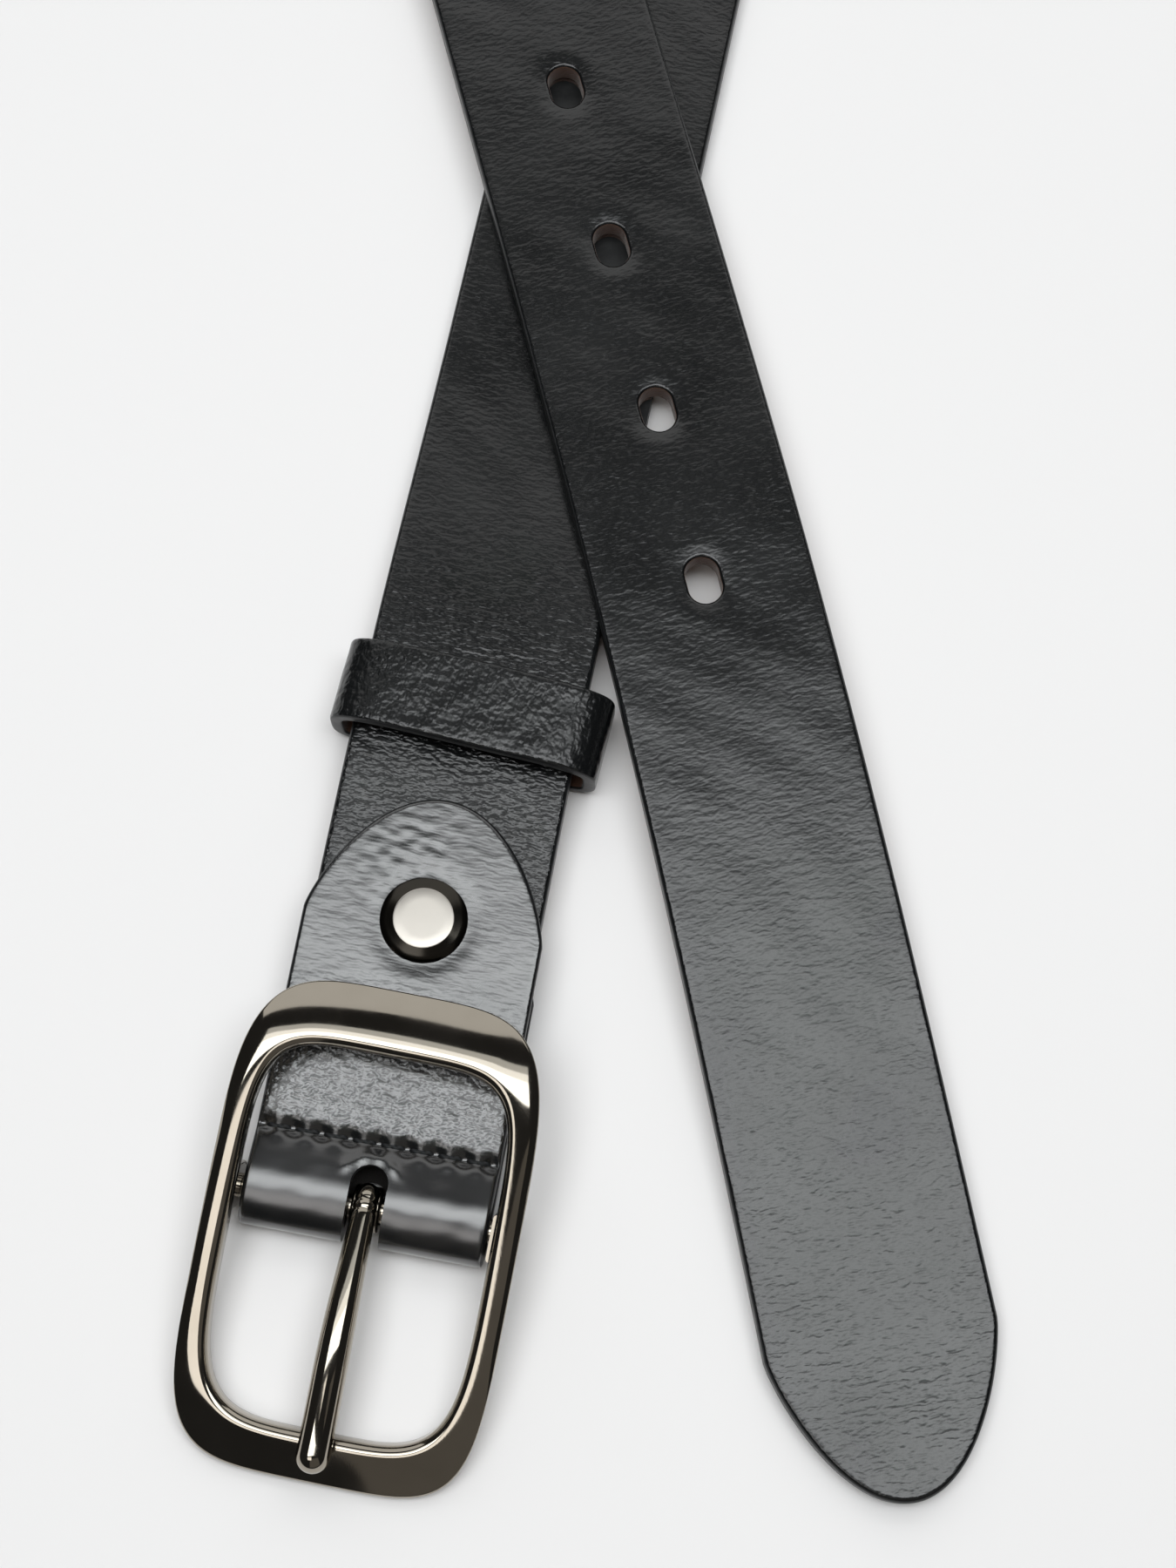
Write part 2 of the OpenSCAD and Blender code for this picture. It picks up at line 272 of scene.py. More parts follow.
# Ties a pattern to the shader: the colour runs between two tones, the roughness between two
# values over the span of the pattern, and the height, if any, is depth mm deep.
def finishShader(tree, shader, tones, toneBy, gloss, glossBy, span=(0.0, 1.0), height=None, depth=1.0):
    tone = addNode(tree, "ShaderNodeMix", {
        "data_type": "RGBA", 6: colour(tones[0]), 7: colour(tones[1])}, {0: toneBy})
    rough = addNode(tree, "ShaderNodeMapRange", {
        "From Min": span[0], "From Max": span[1], "To Min": gloss[0], "To Max": gloss[1]}, {"Value": glossBy})
    tree.links.new(tone.outputs[2], shader.inputs["Base Color"])
    tree.links.new(rough.outputs["Result"], shader.inputs["Roughness"])
    if height is not None:
        bump = addNode(tree, "ShaderNodeBump", {"Strength": 1.0, "Distance": depth * millimetre},
                       {"Height": height})
        tree.links.new(bump.outputs["Normal"], shader.inputs["Normal"])


# Finished cowhide: black pigment coat pressed with a fine grain, then plated smooth. The eye
# sees a soft gloss broken by short creases, faint on the tip and deeper by the buckle.
leather = {
    "pigment": "#060708",
    "worn": "#0d0f10",
    # the real grain is about 0.4 mm, and is drawn a little coarser so that it shows
    "crease": (1.25, 0.62),     # mm, length across the strap and spacing along it
    "creaseDepth": 0.05,        # mm, over the whole range of the noise
    "wrinkle": (2.6, 1.3),      # mm, the same for the slower wrinkles
    "wrinkleDepth": 0.045,      # mm
    "pebble": (0.80, 0.72),     # mm, grain that stands up where the hide was creased to and fro
    "octaves": {"crease": 1.2, "wrinkle": 1.2, "pebble": 0.7},
    "bend": (2.0, 0.7),         # mm, width and reach of the slow drift that bends the grain
    "gloss": (0.22, 0.28),
    "coat": 0.35,
    "coatGloss": 0.20,
}


# Each hide's creases are depth times as deep, and a square below 1 stretches them across. Its
# pebbles are pebbleDepth mm high. A zone scales them from its third value before its first place
# to its fourth after its second, in metres along the piece. Coat and shine are added.
hides = {
    "strap": {"depth": 1.5, "square": 1.0, "zones": [(0.055, 0.10, 2.8, 1.0)],
              "pebbleDepth": 0.12, "pebbleZones": [(0.055, 0.09, 1.0, 0.0)], "coat": 0.0, "shine": 0.0},
    "chape": {"depth": 1.3, "square": 0.5, "zones": [(0.0605, 0.062, 0.1, 1.0), (0.072, 0.085, 1.2, 1.2)],
              "pebbleDepth": 0.25, "pebbleZones": [(0.0605, 0.062, 0.0, 1.0), (0.071, 0.082, 1.0, 0.06)],
              "coat": 0.65, "shine": 0.4},
    "keeper": {"depth": 1.6, "square": 0.55, "zones": [],
               "pebbleDepth": 0.14, "pebbleZones": [], "coat": -0.1, "shine": 0.0},
}


def finishedLeather(name, hide):
    material, tree, shader, uv = newMaterial(name, {
        "Coat Weight": leather["coat"] + hide["coat"], "Coat Roughness": leather["coatGloss"],
        "Specular IOR Level": 0.5 + hide["shine"], "IOR": 1.5})
    bendWidth, bendReach = leather["bend"]
    bend = addNode(tree, "ShaderNodeTexNoise", {"Scale": 1 / (bendWidth * millimetre), "Detail": 2.0},
                   {"Vector": uv})
    push = addNode(tree, "ShaderNodeVectorMath", {"operation": "SCALE", "Scale": bendReach * millimetre},
                   {0: bend.outputs["Color"]})
    bent = addNode(tree, "ShaderNodeVectorMath", {"operation": "ADD"}, {0: uv, 1: push.outputs["Vector"]})
    split = addNode(tree, "ShaderNodeSeparateXYZ", {}, {"Vector": uv})
    layers = (("crease", hide["square"], leather["creaseDepth"] * hide["depth"], hide["zones"]),
              ("wrinkle", hide["square"], leather["wrinkleDepth"] * hide["depth"], hide["zones"]),
              ("pebble", 1.0, hide["pebbleDepth"], hide["pebbleZones"]))
    total = None
    for size, square, depth, zones in layers:
        across, along = leather[size]
        grid = addNode(tree, "ShaderNodeMapping",
                       {"Scale": (square / (across * millimetre), 1 / (along * millimetre), 1.0)},
                       {"Vector": bent.outputs["Vector"]})
        noise = addNode(tree, "ShaderNodeTexNoise",
                        {"Scale": 1.0, "Detail": leather["octaves"][size], "Roughness": 0.6},
                        {"Vector": grid.outputs["Vector"]})
        height = addNode(tree, "ShaderNodeMath", {"operation": "MULTIPLY", 1: depth},
                         {0: noise.outputs["Fac"]})
        for start, end, low, high in zones:
            gain = addNode(tree, "ShaderNodeMapRange", {
                "From Min": start, "From Max": end, "To Min": low, "To Max": high},
                {"Value": split.outputs["Y"]})
            height = addNode(tree, "ShaderNodeMath", {"operation": "MULTIPLY"},
                             {0: height.outputs["Value"], 1: gain.outputs["Result"]})
        if total is not None:
            height = addNode(tree, "ShaderNodeMath", {"operation": "ADD"},
                             {0: height.outputs["Value"], 1: total.outputs["Value"]})
        total = height
    # patches of more and less pigment, about 14 mm wide
    patches = addNode(tree, "ShaderNodeTexNoise", {"Scale": 70.0, "Detail": 3.0}, {"Vector": uv})
    finishShader(tree, shader, (leather["pigment"], leather["worn"]), patches.outputs["Fac"],
                 leather["gloss"], patches.outputs["Fac"], (0.3, 0.7), total.outputs["Value"])
    return material


# Edge paint: black acrylic rolled on in coats over the cut, so it is smooth, a little
# wavy along the edge and glossier than the grain.
def edgePaint(name):
    material, tree, shader, uv = newMaterial(name, {"Specular IOR Level": 0.5})
    waves = addNode(tree, "ShaderNodeTexNoise", {"Scale": 450.0, "Detail": 3.0}, {"Vector": uv})
    wavy = waves.outputs["Fac"]
    finishShader(tree, shader, ("#0d0e0f", "#181a1b"), wavy, (0.32, 0.5), wavy, height=wavy, depth=0.06)
    return material


# Split leather: sueded by the splitting blade, so it is matt with a short nap of
# loose fibres and darker where the hide is denser.
def splitLeather(name, dark, light, fibre=0.3):
    material, tree, shader, uv = newMaterial(name, {
        "Specular IOR Level": 0.25, "Sheen Weight": 0.25, "Sheen Roughness": 0.5})
    nap = addNode(tree, "ShaderNodeTexNoise", {"Scale": 1 / (fibre * millimetre), "Detail": 4.0},
                  {"Vector": uv})
    cloud = addNode(tree, "ShaderNodeTexNoise", {"Scale": 160.0, "Detail": 4.0}, {"Vector": uv})
    mixed = addNode(tree, "ShaderNodeMath", {"operation": "MULTIPLY_ADD", 1: 0.5, 2: 0.0},
                    {0: nap.outputs["Fac"]})
    summed = addNode(tree, "ShaderNodeMath", {"operation": "MULTIPLY_ADD", 1: 0.6},
                     {0: cloud.outputs["Fac"], 2: mixed.outputs["Value"]})
    finishShader(tree, shader, (dark, light), summed.outputs["Value"], (0.75, 0.95), nap.outputs["Fac"],
                 height=nap.outputs["Fac"], depth=0.12)
    return material


# Plated metal: cast, polished or brushed, then plated, so it mirrors the room, with hair
# scratches and a faint breath of uneven gloss.
def platedMetal(name, dark, light, gloss, scratch):
    material, tree, shader, place = newMaterial(name, {"Metallic": 1.0}, False)
    cloud = addNode(tree, "ShaderNodeTexNoise", {"Scale": 180.0, "Detail": 4.0}, {"Vector": place})
    lines = addNode(tree, "ShaderNodeMapping",
                    {"Scale": (5200.0, 700.0, 5200.0), "Rotation": (0.0, 0.0, 0.5)}, {"Vector": place})
    hairs = addNode(tree, "ShaderNodeTexNoise", {"Scale": 1.0, "Detail": 2.0},
                    {"Vector": lines.outputs["Vector"]})
    finishShader(tree, shader, (dark, light), cloud.outputs["Fac"], gloss, cloud.outputs["Fac"],
                 (0.3, 0.7), hairs.outputs["Fac"], scratch)
    return material


# Waxed thread: polyester plies twisted together and waxed, so it has slanting ridges and
# a dull sheen.
def waxedThread(name):
    material, tree, shader, uv = newMaterial(name, {"Specular IOR Level": 0.4})
    twist = addNode(tree, "ShaderNodeMapping", {"Rotation": (0.0, 0.0, 0.7)}, {"Vector": uv})
    plies = addNode(tree, "ShaderNodeTexWave", {"Scale": 520.0, "Distortion": 0.4, "bands_direction": "X"},
                    {"Vector": twist.outputs["Vector"]})
    ridge = plies.outputs["Fac"]
    finishShader(tree, shader, ("#08090a", "#202224"), ridge, (0.55, 0.7), ridge, height=ridge, depth=0.06)
    return material


blackGrain = finishedLeather("blackFinishedCowhide", hides["strap"])
chapeGrain = finishedLeather("blackChapeCowhide", hides["chape"])
keeperGrain = finishedLeather("blackKeeperCowhide", hides["keeper"])
blackEdge = edgePaint("blackEdgePaint")
rawCut = splitLeather("brownRawCutLeather", "#3a281f", "#6b4c3b")
# near-black suede on the chape's flesh side, inside its fold round the bar: painted shade for the hollow seen
# through the slot
foldPaintedShade = splitLeather("chapeFoldPaintedShade", "#0b0a09", "#1b1816")
tanLining = splitLeather("tanSplitLining", "#6f5547", "#a08573")
blackNickel = platedMetal("polishedBlackNickel", "#979084", "#a69f94", (0.05, 0.10), 0.0012)
# darker copy of the rivet's plating for its sloping rim: painted shade on the bevel
rimPaintedShade = platedMetal("rivetRimPaintedShade", "#35332f", "#403d38", (0.16, 0.24), 0.002)
satinNickel = platedMetal("satinNickelPlate", "#aaa59e", "#bdb8b1", (0.30, 0.40), 0.006)
steelWire = platedMetal("drawnSteelWire", "#8f8d8a", "#a9a7a3", (0.25, 0.40), 0.004)
blackThread = waxedThread("blackWaxedThread")
leatherSet = [blackGrain, blackEdge, rawCut]
chapeSet = [chapeGrain, blackEdge, foldPaintedShade]
keeperSet = [keeperGrain, blackEdge, rawCut]
liningSet = [tanLining, blackEdge, rawCut]
print("materials made")

belt = {
    "width": 30.0, "thick": 3.4, "faceThick": 2.0,
    "length": 1124.0, "tipTaper": 20.0, "toCross": 148.0, "crossToTip": 185.5,
    "buckleAngle": 11.7, "tipAngle": 14.5, "chapeTurn": 1.2, "bar": (-22.4, -221.9),
    "leg": 70.0, "flareRadius": 400.0, "flareTurn": 12.0, "tipTurn": -4.1,
    "chapeStraight": 30.0, "chapeBend": 88.0,
    "chapeThick": 1.8, "leanFrom": 20.0, "leanTo": 58.0, "lean": 1.55,
    "offChape": (73, 118),      # where the strap comes down from the chape to the table
    "flat": 68, "roll": 120,    # how far each leg stays flat past the crossing, and its roll
    "crossGap": 0.3, "edgeRise": 0.8, "tipDown": 5.5,
}
crossHalf = (belt["buckleAngle"] + belt["tipAngle"]) / 2
openAngle = np.radians(crossHalf + belt["flareTurn"])
roundTurn = 90 + np.degrees(openAngle)
roundArc = np.radians(roundTurn)
flareLength = belt["flareRadius"] * np.radians(belt["flareTurn"])
loopHalf = (belt["length"] - belt["toCross"] - belt["crossToTip"]) / 2
restLength = loopHalf - belt["leg"] - flareLength
legSpread = (belt["leg"] * np.sin(np.radians(crossHalf))
             + belt["flareRadius"] * (np.cos(np.radians(crossHalf)) - np.cos(openAngle)))
roundRadius = ((restLength * np.sin(openAngle) + legSpread)
               / (roundArc * np.sin(openAngle) + np.cos(openAngle)))
midStraight = restLength - roundRadius * roundArc
chain = np.array([
    [belt["chapeStraight"], 0], [belt["chapeBend"], -belt["chapeTurn"]],
    [belt["toCross"] - belt["chapeStraight"] - belt["chapeBend"] + belt["leg"], 0],
    [flareLength, -belt["flareTurn"]], [midStraight, 0], [2 * roundRadius * roundArc, 2 * roundTurn],
    [midStraight, 0], [flareLength, -belt["flareTurn"]], [belt["leg"], 0],
    [belt["crossToTip"], belt["tipTurn"]]])


# From a pose, the pose after an arc: the chord is length * sin(half turn) / half turn,
# in the direction of the heading plus half the turn.
def afterArc(x, y, heading, length, turn):
    half = np.radians(turn) / 2
    chord = length * np.sinc(half / np.pi)
    way = np.radians(heading) + half
    return x - chord * np.sin(way), y + chord * np.cos(way), heading + turn


linkStart = np.concatenate([[0], np.cumsum(chain[:, 0])])
linkPose = [(*belt["bar"], belt["chapeTurn"] - belt["buckleAngle"])]
for linkLength, linkTurn in chain:
    linkPose.append(afterArc(*linkPose[-1], linkLength, linkTurn))
linkPose = np.array(linkPose)


# Place and heading of the belt's middle line at length s from the bar.
def beltPose(s):
    link = np.clip(np.searchsorted(linkStart, s, side="left") - 1, 0, len(chain) - 1)
    part = s - linkStart[link]
    return afterArc(*linkPose[link].transpose(-1, *range(np.ndim(s))), part,
                    chain[link, 1] * part / chain[link, 0])


crossLift = belt["thick"] + belt["crossGap"]
secondCross = belt["toCross"] + 2 * loopHalf
rollEnd = secondCross - belt["flat"]


# How far the keeper, which runs under the strap, raises it: a straight rise, then a soft fall.
def keeperRaise(s):
    rise = np.clip((s - belt["leanFrom"]) / (belt["leanTo"] - belt["leanFrom"]), 0, 1)
    return belt["lean"] * rise * (1 - ease(s, belt["leanTo"] + 4, belt["leanTo"] + 67))


# Height of the strap's under side: on the chape, down to the table, over the first leg.
def beltLift(s):
    down = ease(s, secondCross + belt["flat"], secondCross + belt["crossToTip"] - belt["tipDown"])
    over = ease(s, rollEnd - 40, secondCross - 66) - down
    edge = ease(s, secondCross + 22, secondCross + 62) - down
    chapeShare = 1 - ease(s, *belt["offChape"])
    return (belt["chapeThick"] * chapeShare + crossLift * over + belt["edgeRise"] * edge
            + keeperRaise(s))


# Quarter turn of the strap onto its lower edge and back, in radians.
def beltRoll(s):
    start, length = belt["toCross"] + belt["flat"], belt["roll"]
    return np.pi / 2 * (ease(s, start, start + length) - ease(s, rollEnd - length, rollEnd))


# Row frame point at length s, across to the right and up from the strap's mid-thickness:
# the section is turned by the roll about the middle line, which the roll lifts off the table.
def beltPoint(s, across, up):
    x, y, heading = beltPose(s)
    heading, roll = np.radians(heading), beltRoll(s)
    centre = beltLift(s) + belt["width"] / 2 * np.sin(roll) + belt["thick"] / 2 * np.cos(roll)
    side = across * np.cos(roll) + up * np.sin(roll)
    high = centre - across * np.sin(roll) + up * np.cos(roll)
    return x + side * np.cos(heading), y + side * np.sin(heading), high


# Row frame point of x to the right, y ahead and z above the table, seen from length s.
def besideBelt(s, x, y, z):
    px, py, heading = beltPose(s)
    heading = np.radians(heading)
    right = px + x * np.cos(heading) - y * np.sin(heading)
    ahead = py + x * np.sin(heading) + y * np.cos(heading)
    return right, ahead, z


def byBar(x, y, z):
    return besideBelt(0.0, x, y, z)


# Outline of a cut end: 1 - (1 - t)^1.3, square-rooted, with t from 0 at the point to 1.
def endTaper(t):
    return np.sqrt(np.maximum(1 - (1 - np.clip(t, 0, 1)) ** 1.3, 0))


strap = {
    "edgeRound": 0.75, "backRound": 0.45, "tipSteps": 60, "wave": 0.055,
    "holeWidth": 4.6, "holeLength": 6.6, "holePitch": 26.0, "tipToHole": 122.0, "holeCount": 5,
    "rimRound": 0.55, "rimDip": 0.22, "backRim": 0.2, "seamAt": 8, "seamSqueeze": 0.9,
}
holeStations = belt["length"] - strap["tipToHole"] - strap["holePitch"] * np.arange(strap["holeCount"])


def strapHalfWidth(s):
    return belt["width"] / 2 * endTaper((belt["length"] - s) / belt["tipTaper"])


# Slight waves of the hide, a dip pressed round each hole by the punch, and the squeeze of the seam.
def strapRelief(s, across):
    waves = strap["wave"] * unevenness(across, s, 11, 7, 38)
    nearest = np.min(np.abs(s[..., None] - holeStations), -1)
    long = np.maximum(nearest - (strap["holeLength"] - strap["holeWidth"]) / 2, 0)
    fromRim = np.maximum(np.hypot(long, across) - strap["holeWidth"] / 2, 0)
    squeeze = strap["seamSqueeze"] * hump(s - strap["seamAt"], 4.5)
    return waves - strap["rimDip"] * hump(fromRim, 1.3) - squeeze


tipParts = np.linspace(1, 0, strap["tipSteps"] + 1) ** 2
strapStations = np.concatenate([
    np.arange(6.1, 196, 0.9), np.arange(196, 884, 3.2), np.arange(884, 1016, 0.55),
    np.arange(1016, belt["length"] - belt["tipTaper"] - 0.5, 0.9),
    belt["length"] - belt["tipTaper"] * tipParts])
half = belt["thick"] / 2
seam = half - belt["faceThick"]
faceColumns = stripColumns(seam, half, 0.12, strap["edgeRound"], 1, 46)
liningColumns = stripColumns(-half, seam, strap["backRound"], 0.12, 12, 1)
liningColumns[:, 5] = np.where(liningColumns[:, 5] == 2, 0, np.where(liningColumns[:, 5] == 0, 2, 1))
strapFace = leatherStrip("strapFace", beltPoint, strapStations, strapHalfWidth, faceColumns,
                         leatherSet, strapRelief)
strapLining = leatherStrip("strapLining", beltPoint, strapStations, strapHalfWidth, liningColumns,
                           liningSet)


# Stadium outline: half circles of the width at both ends of the straight sides, moved
# outwards by grow.
def stadium(width, length, grow, steps=24):
    upper = np.linspace(0, np.pi, steps + 1)
    angle = np.concatenate([upper, upper + np.pi, [0]])
    shift = np.concatenate([np.ones(steps + 1), -np.ones(steps + 1), [1]]) * (length - width) / 2
    grown = (width / 2 + grow)[:, None]
    return grown * np.cos(angle), grown * np.sin(angle) + shift


# Punch for one hole: a straight stadium bore that widens to a quarter-round rim on both
# faces; its walls are raw leather and its upper rim is grain.
def holePunch(s, materials):
    quarter = np.radians(np.linspace(0, 90, 7))
    rim = strap["rimRound"]
    back = strap["backRim"]
    grow = np.concatenate([[back, back], back * (1 - np.sin(quarter[1:])),
                           rim * (1 - np.cos(quarter)), [rim]])
    top = half - strap["rimDip"] - 0.02
    high = np.concatenate([[-half - 1, -half], -half + back * (1 - np.cos(quarter[1:])),
                           top - rim * (1 - np.sin(quarter)), [half + 1]])
    x, y = stadium(strap["holeWidth"], strap["holeLength"], grow)
    up = np.broadcast_to(high[:, None], x.shape)
    points = np.stack(beltPoint(s + y, x, up), -1).reshape(-1, 3)
    uv = np.stack([x + up, y + s], -1).reshape(-1, 2)
    rows, count = x.shape
    bandMaterial = np.where(np.arange(rows - 1) >= rows - 6, 0, 2)
    caps = [np.arange(count - 1).tolist(), (np.arange(count - 1) + (rows - 1) * count).tolist()]
    return makeObject("punch", points, gridQuads(rows, count), caps, materials,
                      np.repeat(bandMaterial, count - 1), uv)


for station in holeStations:
    combine(strapFace, holePunch(station, leatherSet), "DIFFERENCE")
    combine(strapLining, holePunch(station, liningSet), "DIFFERENCE")
settle(strapFace, "strap", ["strap_face"])
settle(strapLining, "strap", ["strap_lining"])
print("strap made:", len(strapFace.data.polygons), "faces")

chape = {
    "width": 31.5, "thick": 1.8, "flapTaper": 17.0, "backTaper": 12.0,
    "bend": 2.6, "bulge": 3.8, "barHigh": 3.5,
    "topLine": [(-1.0, 6.06), (0, 6.27), (1.1, 6.37), (2.0, 6.36), (2.8, 6.22), (4.8, 5.85),
                (6.6, 5.42), (7.6, 5.2), (8.4, 5.2), (9.4, 5.36), (11, 5.46), (14, 5.62),
                (20, 5.96), (30, 6.24), (42, 6.42), (53.4, 6.46)],
    "backEnd": 42.0, "backHigh": 0.9, "edgeRound": 0.6, "step": 0.42,
    "stitchY": 8.0, "stitchPitch": 3.7, "stitchCount": 8, "stitchHigh": 5.0, "rivetY": 37.3,
    "slotWidth": 4.8, "slotHigh": (-1.0, 2.2, 4.2, 9.0), "slotReach": (3.5, 3.5, 5.2, 5.2),
    # mm of height that each mark of handling and sewing adds to the surface
    "marks": {"soft": 0.035, "crease": 0.045, "dish": -0.2, "seam": -0.08, "pit": -0.55,
              "scallop": 0.10, "behind": 0.12, "pucker": 0.22, "roll": 0.03},
}
turnRound = np.radians(np.linspace(270, 120, 26))
foldLine = np.stack([chape["bulge"] * np.cos(turnRound),
                     chape["barHigh"] + chape["bend"] * np.sin(turnRound)], 1)
backLine = [(chape["backEnd"], chape["backHigh"]), (chape["backEnd"] / 2, chape["backHigh"])]
# the line runs from the back layer's end round the bar to the flap's end, so its left is inside
chapeBends = np.array(backLine + foldLine.tolist() + chape["topLine"])
chapeBends[:, 1] += keeperRaise(chapeBends[:, 0])
chapeLine = measuredLine(chapeBends, 3)
chapeLength = chapeLine["length"][-1]


def chapePoint(q, across, up):
    y, z = onLine(chapeLine, q, up)
    return byBar(across, y, z)


def chapeHalfWidth(q):
    front = endTaper((chapeLength - q) / chape["flapTaper"])
    return chape["width"] / 2 * np.minimum(front, endTaper(q / chape["backTaper"]))


stitchEnds = (np.arange(chape["stitchCount"] + 1) - chape["stitchCount"] / 2) * chape["stitchPitch"]


# Hand-made unevenness of the flap: creases that lean away from the rivet, a dished ring
# pressed by the cap, the seam's dip with a pit at each needle hole, and a pucker at the slot.
def chapeRelief(q, x):
    mark = chape["marks"]
    y = np.interp(q, chapeLine["length"], chapeLine["points"][:, 0])
    z = np.interp(q, chapeLine["length"], chapeLine["points"][:, 1])
    upper = ease(z, 4.2, 5.0)
    flap = upper * ease(y, 9.5, 13)
    fromRivet = np.hypot(x, y - chape["rivetY"])
    soft = mark["soft"] * unevenness(x, y, 5, 7, 18)
    creases = mark["crease"] * unevenness(x, y, 8, 1.3, 3.2, 0.6)
    strong = 0.1 + hump(np.hypot(x + 4, y - chape["rivetY"] - 7), 6) + 0.5 * hump(y - 15, 5)
    dish = mark["dish"] * hump(fromRivet - 5.8, 1.4)
    pit = np.min(np.abs(x[..., None] - stitchEnds), -1)
    onSeam = np.hypot(pit, y - chape["stitchY"])
    midStitch = hump(pit - chape["stitchPitch"] / 2, 1.0)
    seamDip = mark["seam"] * hump(y - chape["stitchY"], 0.8) + mark["pit"] * hump(onSeam, 1.0)
    scallop = mark["scallop"] * hump(y - 6.6, 0.8) * midStitch
    behindSeam = mark["behind"] * hump(y - 9.3, 1.0) * midStitch
    atSlot = hump(np.hypot(x, y - 1.9) - 4.0, 0.6) * ease(y, 3, 5)
    pucker = mark["pucker"] * atSlot * (1 + 0.5 * np.sin(3.1 * x))
    rollWave = mark["roll"] * unevenness(x, y, 3, 3, 9) * upper * (1 - ease(y, 4, 9))
    return (flap * (soft + creases * strong + dish) + upper * (seamDip + scallop + behindSeam + pucker)
            + rollWave)


frontParts = np.linspace(1, 0, 62) ** 2
chapeStations = np.concatenate([
    chape["backTaper"] * frontParts[::-1][:-1],
    np.arange(chape["backTaper"], chapeLength - chape["flapTaper"] - 0.3, chape["step"]),
    chapeLength - chape["flapTaper"] * frontParts])
chapeColumns = stripColumns(-chape["thick"] / 2, chape["thick"] / 2, 0.3, chape["edgeRound"], 4, 76, 0.35)
chapePiece = leatherStrip("chapeLeather", chapePoint, chapeStations, chapeHalfWidth, chapeColumns,
                          chapeSet, chapeRelief)


# Cutter for the tongue slot: straight sides to a half-round end, which reaches further in the
# flap, where the lifted tongue stands, than in the back layer.
def slotCutter():
    r = chape["slotWidth"] / 2
    angle = np.radians(np.linspace(0, 180, 33))
    reach = np.array(chape["slotReach"])[:, None]
    rows = len(reach)
    y = np.concatenate([reach - r + r * np.sin(angle), np.full((rows, 2), -8.0)], 1)
    x = np.broadcast_to(np.concatenate([r * np.cos(angle), [-r, r]]), y.shape)
    z = np.broadcast_to(np.array(chape["slotHigh"])[:, None], y.shape)
    points = np.stack(byBar(x, y, z), -1).reshape(-1, 3)
    quads, caps = prismFaces(rows, y.shape[1])
    uv = np.stack([x + y, z], -1).reshape(-1, 2)
    return makeObject("slot", points, quads, caps, chapeSet, np.ones(len(quads)), uv)


combine(chapePiece, slotCutter(), "DIFFERENCE")
settle(chapePiece, "strap", ["chape"], 40)
print("chape made:", len(chapePiece.data.polygons), "faces")


# A round bar of varying half width and half height carried along lines in the (x, y, z)
# of the bar's frame: ring point = centre + side * a cos t + up * b sin t.
def carriedTube(name, centres, sides, ups, wide, high, place, materials, steps=16):
    angle = np.linspace(0, 2 * np.pi, steps + 1)
    ring = (centres[..., None, :]
            + sides[..., None, :] * (wide[..., None] * np.cos(angle))[..., None]
            + ups[..., None, :] * (high[..., None] * np.sin(angle))[..., None])
    lines, rows = ring.shape[:2]
    one = gridQuads(rows, steps + 1)
    quads = (one[None] + (np.arange(lines) * rows * (steps + 1))[:, None, None]).reshape(-1, 4)
    flat = ring.reshape(-1, 3)
    points = np.stack(place(flat[:, 0], flat[:, 1], flat[:, 2]), -1)
    run = np.concatenate([np.zeros((lines, 1)),
                          np.cumsum(np.linalg.norm(np.diff(centres, axis=1), axis=-1), 1)], 1)
    u = np.broadcast_to(angle * np.mean(wide), ring.shape[:-1])
    v = np.broadcast_to(run[..., None], ring.shape[:-1])
    return makeObject(name, points, quads, [], materials, None, np.stack([u, v], -1).reshape(-1, 2))


# Tube directions at each centre: sideways along the belt, and up square to that and the tube.
def tubeDirections(centres):
    way = np.gradient(centres, axis=1)
    way /= np.linalg.norm(way, axis=-1)[..., None]
    sides = np.broadcast_to([0.0, 1.0, 0.0], way.shape)
    return sides, np.cross(way, sides)


# Eight thread runs on the flap and eight on the back, each an arch between two needle
# holes: height = foot + rise * (1 - |2t - 1|^3).
def stitchRuns():
    t = np.linspace(0, 1, 15)
    bulge = 1 - np.abs(2 * t - 1) ** 3
    starts = stitchEnds[:-1, None]
    x = starts + chape["stitchPitch"] * (0.06 + 0.88 * t)
    top = np.stack([x, np.full_like(x, chape["stitchY"]) + 0.12 * (t - 0.5),
                    np.broadcast_to(chape["stitchHigh"] + 0.72 * bulge, x.shape)], -1)
    back = np.stack([x, np.full_like(x, chape["stitchY"]),
                     np.broadcast_to(0.75 - 0.32 * bulge, x.shape)], -1)
    centres = np.concatenate([top, back])
    radius = np.broadcast_to(0.40 * (1 - np.abs(2 * t - 1) ** 12), centres.shape[:-1])
    return carriedTube("chapeThread", centres, *tubeDirections(centres), radius, radius,
                       byBar, [blackThread], 12)


threadPiece = stitchRuns()
settle(threadPiece, "strap", ["chape_stitching"])
print("stitches made")

rivet = {
    "flat": 3.95,               # mm, radius of the satin disc
    "cap": [(0, 7.98), (2.5, 7.985), (3.75, 7.97), (3.95, 7.93), (4.1, 7.86), (4.9, 7.62), (5.45, 7.38),
            (5.7, 7.18), (5.75, 7.0), (5.6, 6.8), (5.2, 6.7), (0, 6.7)],
    "back": [(0, 0.05), (4.3, 0.05), (4.75, 0.12), (4.95, 0.3), (5, 0.55), (4.85, 0.8), (4.5, 0.9), (0, 0.9)],
}


def byRivet(x, y, z):
    return byBar(x, y + chape["rivetY"], z + keeperRaise(chape["rivetY"]))


rivetCap = turned("rivetCap", rivet["cap"], byRivet, [satinNickel, rimPaintedShade])
